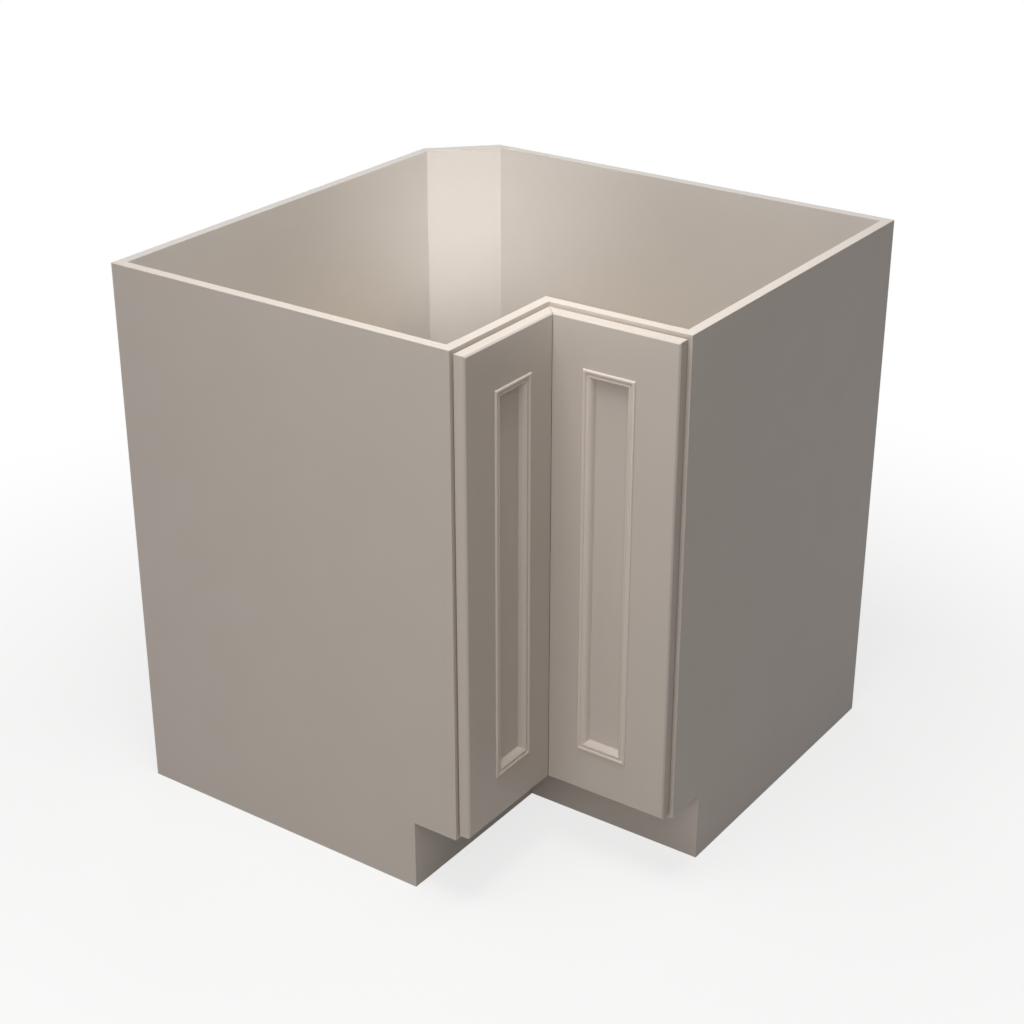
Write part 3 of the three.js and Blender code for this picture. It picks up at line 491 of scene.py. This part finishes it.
def dress_carcass():
    for paint, nodes in CARCASS_PAINTS.items():
        for node in nodes:
            eased(node, paint, "cabinet")


# ---------------------------------------------------------------- door leaves


def moulding_section(proud, depth):
    """(inward, outward) points round the bead moulding, closed: bead, cove, nose, ovolo and fillet.
    Outward counts from the leaf's front. The bead stands proud of it, and the back lies depth below, on
    the panel."""
    turns = [math.pi / 2 * i / CURVE_STEPS for i in range(CURVE_STEPS + 1)]
    half = BEAD_WIDTH / 2
    bead = [(half - half * math.cos(2 * turn), proud * math.sin(2 * turn)) for turn in turns[:-1]]
    foot = BEAD_WIDTH + COVE_WIDTH
    nose = [(foot + NOSE_RADIUS * (1 - math.cos(turn)), COVE_PROUD + NOSE_RADIUS * math.sin(turn))
            for turn in turns[:-1]]
    start, top = foot + NOSE_RADIUS, COVE_PROUD + NOSE_RADIUS
    end = MOULD_WIDTH - OVOLO_FILLET
    run, fall = math.sin(OVOLO_TO) - math.sin(OVOLO_FROM), math.cos(OVOLO_FROM) - math.cos(OVOLO_TO)
    slopes = [OVOLO_FROM + (OVOLO_TO - OVOLO_FROM) * i / CURVE_STEPS for i in range(CURVE_STEPS + 1)]
    ovolo = [(start + (end - start) * (math.sin(slope) - math.sin(OVOLO_FROM)) / run,
              top - OVOLO_DROP * (math.cos(OVOLO_FROM) - math.cos(slope)) / fall) for slope in slopes]
    back = [(MOULD_WIDTH, -depth), (MOULD_LIP, -depth), (MOULD_LIP, 0.0)]
    return bead + [(BEAD_WIDTH, COVE_PROUD)] + nose + ovolo + back


def dress_moulding(leaf, across, outward):
    """The moulding's section carried round the panel and mitred. across is the axis along the leaf
    (0 or 1), and outward the sign of the way its front faces along the other axis."""
    node = leaf + "_moulding"
    facing = 1 - across
    low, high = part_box(node)
    side = 1 if outward > 0 else 0  # which of a box's corners lies at the front
    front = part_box(leaf + "_outer_stile")[side][facing]
    tip, back = (high, low)[1 - side][facing], (low, high)[1 - side][facing]
    section = moulding_section(abs(tip - front), abs(front - back))
    corners = [(low[across], low[2], 1, 1), (high[across], low[2], -1, 1),
               (high[across], high[2], -1, -1), (low[across], high[2], 1, -1)]
    work = bmesh.new()
    rings = []
    for along, z, inward_along, inward_z in corners:
        ring = []
        for inward, out in section:
            place = [0, 0, z + inward_z * inward]
            place[across] = along + inward_along * inward
            place[facing] = front + outward * out
            ring.append(work.verts.new(place))
        rings.append(ring)
    for here, after in zip(rings, rings[1:] + rings[:1]):
        for i in range(len(section)):
            j = (i + 1) % len(section)
            work.faces.new((here[i], after[i], after[j], here[j])).smooth = True
    bmesh.ops.recalc_face_normals(work, faces=work.faces)
    # Its paler paint is a painted highlight on the moulding's curves.
    piece = link_object(node + "_dressed", mesh_from(work, node + "_dressed"), paint_mouldings_with_highlight)
    piece.data.set_sharp_from_angle(angle=MOULD_CREASE)
    register(piece, leaf, [node])


def dress_leaves():
    for leaf, rail_paint in (("right_leaf", paint_along_x), ("left_leaf", paint_along_y)):
        for part in ("outer_stile", "inner_stile", "panel"):
            eased(f"{leaf}_{part}", paint_upright, leaf, LEAF_EASE)
        for part in ("bottom_rail", "top_rail"):
            eased(f"{leaf}_{part}", rail_paint, leaf, LEAF_EASE)
    dress_moulding("right_leaf", 0, -1)
    dress_moulding("left_leaf", 1, 1)


# ---------------------------------------------------------------- hinges, bumpers, bearings, trays


def dress_hinges(level):
    bodies = {
        "cabinet": ("hinge_plate", "hinge_arm"),
        "hinge_links": ("hinge_link",),
        "left_leaf": ("fold_left_plate",),
        "right_leaf": ("hinge_cup", "fold_right_plate", "fold_pin"),
    }
    for body, parts in bodies.items():
        for part in parts:
            eased(f"{level}_{part}", nickel_plate, body, METAL_EASE)


def dress_bumper(level):
    """A low dome stuck on the leaf's back."""
    node = f"{level}_bumper"
    low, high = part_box(node)
    centre = (low + high) / 2
    radius, thick = (high.z - low.z) / 2, high.x - low.x
    shoulder = BUMPER_SHOULDER * thick
    profile = [(0.0, 0.0), (radius, 0.0)]
    profile += [(radius * math.cos(a), shoulder + (thick - shoulder) * math.sin(a))
                for a in (math.pi / 2 * i / CURVE_STEPS for i in range(CURVE_STEPS + 1))]
    piece = lathe(node + "_dressed", profile, BUMPER_STEPS, (0, 0, 0), bumper_rubber)
    onto_back = Matrix.Translation((high.x, centre.y, centre.z)) @ Matrix.Rotation(-math.pi / 2, 4, "Y")
    piece.data.transform(onto_back)
    register(piece, "left_leaf", [node])


def new_group(name, inputs):
    """An empty Geometry Nodes tree with a geometry in and out, and its named inputs."""
    group = bpy.data.node_groups.new(name, "GeometryNodeTree")
    group.interface.new_socket("Geometry", in_out="INPUT", socket_type="NodeSocketGeometry")
    for socket, (kind, value) in inputs.items():
        made = group.interface.new_socket(socket, in_out="INPUT", socket_type=kind)
        if value is not None:
            made.default_value = value
    group.interface.new_socket("Geometry", in_out="OUTPUT", socket_type="NodeSocketGeometry")
    return group, add_node(group, "NodeGroupInput").outputs


def grow(piece, group, inputs):
    """Runs a tree on a piece with these inputs, and keeps the result as its plain mesh."""
    maker = piece.modifiers.new(group.name, "NODES")
    maker.node_group = group
    for socket in group.interface.items_tree:
        if socket.name in inputs:
            maker[socket.identifier] = inputs[socket.name]
    mesh = baked(piece).data
    mesh.materials.clear()
    mesh.materials.append(inputs["Finish"])
    mesh.polygons.foreach_set("material_index", [0] * len(mesh.polygons))


def ball_ring_tree():
    """Balls spaced evenly round a ring."""
    group, given = new_group("balls_round_a_ring", {
        "Balls": ("NodeSocketInt", BALL_COUNT), "Ring Radius": ("NodeSocketFloat", BALL_CIRCLE),
        "Ball Radius": ("NodeSocketFloat", BALL_RADIUS), "Finish": ("NodeSocketMaterial", None)})
    ring = add_node(group, "GeometryNodeMeshCircle", links={
        "Vertices": given["Balls"], "Radius": given["Ring Radius"]})
    ball = add_node(group, "GeometryNodeMeshUVSphere", {"Segments": 20, "Rings": 10},
                    {"Radius": given["Ball Radius"]})
    smooth = add_node(group, "GeometryNodeSetShadeSmooth", links={"Geometry": ball.outputs["Mesh"]})
    placed = add_node(group, "GeometryNodeInstanceOnPoints", links={
        "Points": ring.outputs["Mesh"], "Instance": smooth.outputs["Geometry"]})
    real = add_node(group, "GeometryNodeRealizeInstances", links={"Geometry": placed.outputs["Instances"]})
    finished = add_node(group, "GeometryNodeSetMaterial", links={
        "Geometry": real.outputs["Geometry"], "Material": given["Finish"]})
    add_node(group, "NodeGroupOutput", links={"Geometry": finished.outputs["Geometry"]})
    return group


balls_round_a_ring = ball_ring_tree()


def dress_bearing(level):
    """The two race plates, the nylon cage between them, and the steel balls in it."""
    eased(f"{level}_bearing_base", zinc_plate, "cabinet", METAL_EASE)
    eased(f"{level}_bearing_top", zinc_plate, f"{level}_carousel", METAL_EASE)

    cage = f"{level}_bearing_cage"
    low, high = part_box(cage)
    centre = (low + high) / 2
    inner, outer, half = BALL_CIRCLE - CAGE_WIDE / 2, BALL_CIRCLE + CAGE_WIDE / 2, CAGE_THICK / 2
    ring = lathe(cage + "_ring", [(inner, -half), (outer, -half), (outer, half), (inner, half)],
                 CAGE_STEPS, centre, cage_nylon)
    register(ring, f"{level}_ball_cage", [cage])
    balls = link_object(f"{level}_bearing_balls", bpy.data.meshes.new(f"{level}_bearing_balls"))
    grow(balls, balls_round_a_ring, {"Finish": screw_steel})
    balls.data.transform(Matrix.Translation(centre))
    register(balls, f"{level}_ball_cage")


def dress_tray(level):
    """The tray's board and the bent band round it, with softened edges."""
    low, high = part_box(f"{level}_tray_board")
    centre = ((low.x + high.x) / 2, (low.y + high.y) / 2, low.z)
    radius, thick = (high.x - low.x) / 2, high.z - low.z
    profile = [(0.0, 0.0), (radius - TRAY_EDGE, 0.0)]
    profile += arc((radius - TRAY_EDGE, TRAY_EDGE), TRAY_EDGE, -90, 0, EASE_SEGMENTS)
    profile += arc((radius - TRAY_EDGE, thick - TRAY_EDGE), TRAY_EDGE, 0, 90, EASE_SEGMENTS)
    profile += [(0.0, thick)]
    board = lathe(f"{level}_tray_board_dressed", profile, TRAY_STEPS, centre, birch_face)
    register(board, f"{level}_carousel", [f"{level}_tray_board"])

    low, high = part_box(f"{level}_tray_rim")
    outer, tall = (high.x - low.x) / 2, high.z - low.z
    inner, round_top = outer - RIM_THICK, RIM_THICK / 2
    profile = [(inner, TRAY_EDGE), (inner + TRAY_EDGE, 0.0), (outer - TRAY_EDGE, 0.0), (outer, TRAY_EDGE)]
    profile += arc((outer - round_top, tall - round_top), round_top, 0, 180, 2 * CURVE_STEPS)
    rim = lathe(f"{level}_tray_rim_dressed", profile, TRAY_STEPS, centre, birch_bent, band_uv=True)
    register(rim, f"{level}_carousel", [f"{level}_tray_rim"])


def dress_hardware():
    for level in ("lower", "upper"):
        dress_hinges(level)
        dress_bumper(level)
        dress_bearing(level)
        dress_tray(level)


# ---------------------------------------------------------------- screws and brads


def screw_head():
    """A countersunk head of radius 1, with a cross recess, its top on z = 0."""
    arm, reach = CROSS_ARM, CROSS_REACH
    cross = [(reach, -arm), (reach, arm), (arm, arm), (arm, reach), (-arm, reach), (-arm, arm),
             (-reach, arm), (-reach, -arm), (-arm, -arm), (-arm, -reach), (arm, -reach), (arm, -arm)]
    turns = [2 * math.pi * i / HEAD_SIDES for i in range(HEAD_SIDES)]
    work = bmesh.new()
    edge = [work.verts.new((math.cos(turn), math.sin(turn), 0)) for turn in turns]
    mouth = [work.verts.new((x, y, CROSS_RISE)) for x, y in cross]
    floor = [work.verts.new((x * CROSS_TAPER, y * CROSS_TAPER, -CROSS_DEPTH)) for x, y in cross]
    under = [work.verts.new((SHANK_SHARE * v.co.x, SHANK_SHARE * v.co.y, -SHANK_DEPTH)) for v in edge]
    outline = [work.edges.new((ring[i], ring[(i + 1) % len(ring)]))
               for ring in (edge, mouth) for i in range(len(ring))]
    bmesh.ops.triangle_fill(work, use_beauty=True, edges=outline)
    for upper, lower in ((mouth, floor), (edge, under)):
        for i in range(len(upper)):
            j = (i + 1) % len(upper)
            work.faces.new((upper[i], upper[j], lower[j], lower[i]))
    work.faces.new(floor)
    work.faces.new(under)
    bmesh.ops.recalc_face_normals(work, faces=work.faces)
    return link_object("screw_head_pattern", mesh_from(work, "screw_head"))


def screw_tree(pattern):
    """A screw head on each point, square to the point's facing and turned at random about it."""
    group, given = new_group("screws_on_points", {
        "Head Radius": ("NodeSocketFloat", WOOD_SCREW), "Seed": ("NodeSocketInt", 1),
        "Finish": ("NodeSocketMaterial", None)})
    facing = add_node(group, "GeometryNodeInputNamedAttribute", {"Name": "facing"},
                      data_type="FLOAT_VECTOR")
    square = add_node(group, "FunctionNodeAlignRotationToVector", links={
        "Vector": facing.outputs["Attribute"]}, axis="Z")
    spin = add_node(group, "FunctionNodeRandomValue", {"Min": (0, 0, 0), "Max": (0, 0, math.pi)},
                    {"Seed": given["Seed"]}, data_type="FLOAT_VECTOR")
    turned = add_node(group, "FunctionNodeRotateRotation", links={
        "Rotation": square.outputs["Rotation"], "Rotate By": spin.outputs["Value"]}, rotation_space="LOCAL")
    head = add_node(group, "GeometryNodeObjectInfo", {"Object": pattern})
    placed = add_node(group, "GeometryNodeInstanceOnPoints", links={
        "Points": given["Geometry"], "Instance": head.outputs["Geometry"],
        "Rotation": turned.outputs["Rotation"], "Scale": given["Head Radius"]})
    real = add_node(group, "GeometryNodeRealizeInstances", links={"Geometry": placed.outputs["Instances"]})
    finished = add_node(group, "GeometryNodeSetMaterial", links={
        "Geometry": real.outputs["Geometry"], "Material": given["Finish"]})
    add_node(group, "NodeGroupOutput", links={"Geometry": finished.outputs["Geometry"]})
    return group


def screws(name, body, places, radius, seed):
    """Screw heads of one size on one body. places holds (position, facing) pairs."""
    mesh = bpy.data.meshes.new(name)
    mesh.from_pydata([Vector(position) + SCREW_PROUD * Vector(facing) for position, facing in places], [], [])
    facings = mesh.attributes.new("facing", "FLOAT_VECTOR", "POINT")
    for entry, (_, facing) in zip(facings.data, places):
        entry.vector = facing
    piece = link_object(name, mesh)
    grow(piece, screws_on_points, {"Head Radius": radius, "Seed": seed, "Finish": screw_steel})
    register(piece, body)


def between(low, high, count):
    """Evenly spaced places from low to high, both included."""
    return [low + (high - low) * i / (count - 1) for i in range(count)]


def cleat_screws():
    """Screws through each shelf cleat into its wall, and the way each faces: into the cabinet."""
    places = []
    for node, along, facing in (("left_side", 0, 1), ("right_back", 0, -1),
                                ("left_back", 1, 1), ("right_side", 1, -1)):
        low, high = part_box("shelf_cleat_" + node)
        across = 1 - along
        first, last = low[along] + CLEAT_SCREW_INSET, high[along] - CLEAT_SCREW_INSET
        for spot in between(first, last, CLEAT_SCREW_COUNT):
            place, normal = [0, 0, (low.z + high.z) / 2], [0, 0, 0]
            place[along] = spot
            place[across] = (high if facing > 0 else low)[across]
            normal[across] = facing
            places.append((place, normal))
    return places


def hinge_plate_screws(level):
    low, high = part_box(f"{level}_hinge_plate")
    y = (low.y + high.y) / 2
    return [((low.x, y, z), (-1, 0, 0)) for z in (low.z + PLATE_SCREW_INSET, high.z - PLATE_SCREW_INSET)]


def hinge_cup_screws(level):
    low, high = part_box(f"{level}_hinge_cup")
    x = (low.x + high.x) / 2
    return [((x, high.y, z), (0, 1, 0)) for z in (low.z + CUP_SCREW_INSET, high.z - CUP_SCREW_INSET)]


def fold_screws(level):
    """The screws of a fold hinge: those in the right leaf, then those in the left."""
    low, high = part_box(f"{level}_fold_right_plate")
    middle = (low.z + high.z) / 2
    heights = between(middle - FOLD_SCREW_SPACING, middle + FOLD_SCREW_SPACING, FOLD_SCREW_COUNT)
    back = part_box("right_leaf_inner_stile")[1].y + FOLD_PLATE_THICK
    right = [((high.x - FOLD_SCREW_INSET, back, z), (0, 1, 0)) for z in heights]
    low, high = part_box(f"{level}_fold_left_plate")
    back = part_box("left_leaf_inner_stile")[0].x - FOLD_PLATE_THICK
    left = [((back, low.y + FOLD_SCREW_INSET, z), (-1, 0, 0)) for z in heights]
    return right, left


def bearing_screws(level):
    """Screws through the tray's board into the corners of the turning race plate."""
    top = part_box(f"{level}_tray_board")[1].z
    low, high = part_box(f"{level}_bearing_top")
    return [((x, y, top), (0, 0, 1)) for x in (low.x + BEARING_SCREW_INSET, high.x - BEARING_SCREW_INSET)
            for y in (low.y + BEARING_SCREW_INSET, high.y - BEARING_SCREW_INSET)]


def rim_brads(level):
    """Brads through the band into the edge of the board, evenly spaced round it."""
    low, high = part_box(f"{level}_tray_board")
    rim_low, rim_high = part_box(f"{level}_tray_rim")
    centre, radius = (low + high) / 2, (rim_high.x - rim_low.x) / 2
    turns = [2 * math.pi * (i + 0.5) / RIM_BRAD_COUNT for i in range(RIM_BRAD_COUNT)]
    facings = [Vector((math.cos(turn), math.sin(turn), 0)) for turn in turns]
    return [(centre + radius * facing, facing) for facing in facings]


def dress_screws():
    levels = ("lower", "upper")
    folds = [fold_screws(level) for level in levels]
    cabinet = [place for level in levels for place in hinge_plate_screws(level)]
    right = [place for level in levels for place in hinge_cup_screws(level)]
    screws("cleat_screws", "cabinet", cleat_screws(), WOOD_SCREW, 1)
    screws("hinge_plate_screws", "cabinet", cabinet, HINGE_SCREW, 2)
    screws("right_leaf_screws", "right_leaf",
           right + [place for fold in folds for place in fold[0]], HINGE_SCREW, 3)
    screws("left_leaf_screws", "left_leaf",
           [place for fold in folds for place in fold[1]], HINGE_SCREW, 4)
    for level, seed in zip(levels, (5, 6)):
        body = f"{level}_carousel"
        screws(f"{level}_tray_screws", body, bearing_screws(level), TRAY_SCREW, seed)
        screws(f"{level}_rim_brads", body, rim_brads(level), RIM_BRAD, seed)


# ---------------------------------------------------------------- camera, stage and lamps

CAMERA_PLACE = (1.6353, -2.3325, 1.8073)
CAMERA_FACING = (-0.51764, 0.73605, -0.43620)
CAMERA_LENS = 70.02
SENSOR_WIDTH = 36.0


def place_camera():
    lens = bpy.data.cameras.new("camera")
    lens.lens = CAMERA_LENS
    lens.sensor_width = SENSOR_WIDTH
    camera = bpy.data.objects.new("camera", lens)
    camera.location = CAMERA_PLACE
    camera.rotation_euler = Vector(CAMERA_FACING).to_track_quat("-Z", "Y").to_euler()
    bpy.context.scene.collection.objects.link(camera)
    bpy.context.scene.camera = camera


def is_seen(tree):
    """1 for rays from the camera, and for those that metal and glass send on."""
    path = add_node(tree, "ShaderNodeLightPath").outputs
    direct = add_node(tree, "ShaderNodeMath", links={0: path["Is Camera Ray"], 1: path["Is Glossy Ray"]},
                      operation="MAXIMUM")
    either = add_node(tree, "ShaderNodeMath", links={0: direct.outputs[0], 1: path["Is Transmission Ray"]},
                      operation="MAXIMUM")
    return either.outputs[0]


FLOOR_RADIUS = 14.0
FLOOR_STEPS = 96
FLOOR_COLOUR = "#f4f3f1"
FLOOR_BOUNCE = "#a3a09c"  # the floor's colour to light on its way from floor to object
FLOOR_GLOW = 0.76  # how much of the floor, as seen beside the cabinet, is plain white rather than lit
FLOOR_LIT_TO = 0.7  # this far from the middle the floor starts to turn plain white, and by
FLOOR_WHITE_FROM = 1.7  # this far it has none of the lamps' light left to see


def lay_floor():
    work = bmesh.new()
    bmesh.ops.create_circle(work, cap_ends=True, radius=FLOOR_RADIUS, segments=FLOOR_STEPS)
    material, tree, shader = new_material("pale_floor", {"Roughness": 0.9})
    seen = is_seen(tree)
    tint = add_node(tree, "ShaderNodeMix", {MIX_A: linear(FLOOR_BOUNCE), MIX_B: linear(FLOOR_COLOUR)},
                    {MIX_FACTOR: seen}, data_type="RGBA")
    tree.links.new(tint.outputs[MIX_RESULT], shader.inputs["Base Color"])
    white = add_node(tree, "ShaderNodeEmission", {"Color": (1, 1, 1, 1)})
    place = add_node(tree, "ShaderNodeTexCoord").outputs["Object"]
    distance = add_node(tree, "ShaderNodeVectorMath", links={0: place}, operation="LENGTH")
    glow = add_node(tree, "ShaderNodeMapRange",
                    {"From Min": FLOOR_LIT_TO, "From Max": FLOOR_WHITE_FROM, "To Min": FLOOR_GLOW},
                    {"Value": distance.outputs["Value"]}, interpolation_type="SMOOTHSTEP")
    share = add_node(tree, "ShaderNodeMath", links={0: seen, 1: glow.outputs["Result"]},
                     operation="MULTIPLY")
    surface = add_node(tree, "ShaderNodeMixShader", links={
        0: share.outputs[0], 1: shader.outputs["BSDF"], 2: white.outputs["Emission"]})
    output = next(node for node in tree.nodes if node.type == "OUTPUT_MATERIAL")
    tree.links.new(surface.outputs["Shader"], output.inputs["Surface"])
    link_object("floor", mesh_from(work, "floor"), material)


WORLD_STRENGTH = 0.12


def light_world():
    world = bpy.data.worlds.new("studio")
    world.use_nodes = True
    tree = world.node_tree
    tree.nodes.clear()
    ambient = add_node(tree, "ShaderNodeBackground", {"Color": (1, 1, 1, 1), "Strength": WORLD_STRENGTH})
    white = add_node(tree, "ShaderNodeBackground", {"Color": (1, 1, 1, 1)})
    sky = add_node(tree, "ShaderNodeMixShader", links={
        0: is_seen(tree), 1: ambient.outputs["Background"], 2: white.outputs["Background"]})
    add_node(tree, "ShaderNodeOutputWorld", links={"Surface": sky.outputs["Shader"]})
    bpy.context.scene.world = world


# name: (place, aimed at, size, power in watts, spread of the beam in degrees). The corner softbox's narrow
# beam lies on the panel across the cut corner, and the rear one stands below the top edges.
LAMPS = {
    "front_overhead_softbox": ((0.2, -0.7, 2.6), (0.1, -0.1, 0.4), 1.0, 30.0, 180),
    "back_overhead_softbox": ((0.12, 0.05, 1.8), (0.05, 0.1, 0.4), 0.7, 4.8, 180),
    "low_softbox": ((0.1, -2.6, 0.45), (0.2, 0.0, 0.3), 1.2, 11.6, 180),
    "right_softbox": ((1.6, -2.2, 2.6), (0.0, 0.0, 0.4), 1.4, 18.0, 180),
    "corner_softbox": ((0.9, -0.9, 1.45), (-0.38, 0.38, 0.74), 0.3, 0.23, 15),
    "rear_softbox": ((-1.9, 1.9, 0.35), (0.0, 0.0, 0.45), 0.9, 26.0, 180),
}


def place_lamps():
    for name, (place, target, size, power, spread) in LAMPS.items():
        light = bpy.data.lights.new(name, "AREA")
        light.shape = "SQUARE"
        light.size = size
        light.energy = power
        light.spread = math.radians(spread)
        lamp = bpy.data.objects.new(name, light)
        lamp.location = place
        lamp.rotation_euler = (Vector(target) - Vector(place)).to_track_quat("-Z", "Y").to_euler()
        bpy.context.scene.collection.objects.link(lamp)


# ---------------------------------------------------------------- the whole scene

place_camera()
dress_carcass()
dress_leaves()
dress_hardware()
screw_pattern = screw_head()
screws_on_points = screw_tree(screw_pattern)
dress_screws()
bpy.data.objects.remove(screw_pattern)
lay_floor()
light_world()
place_lamps()

bpy.context.scene.view_settings.view_transform = "Standard"
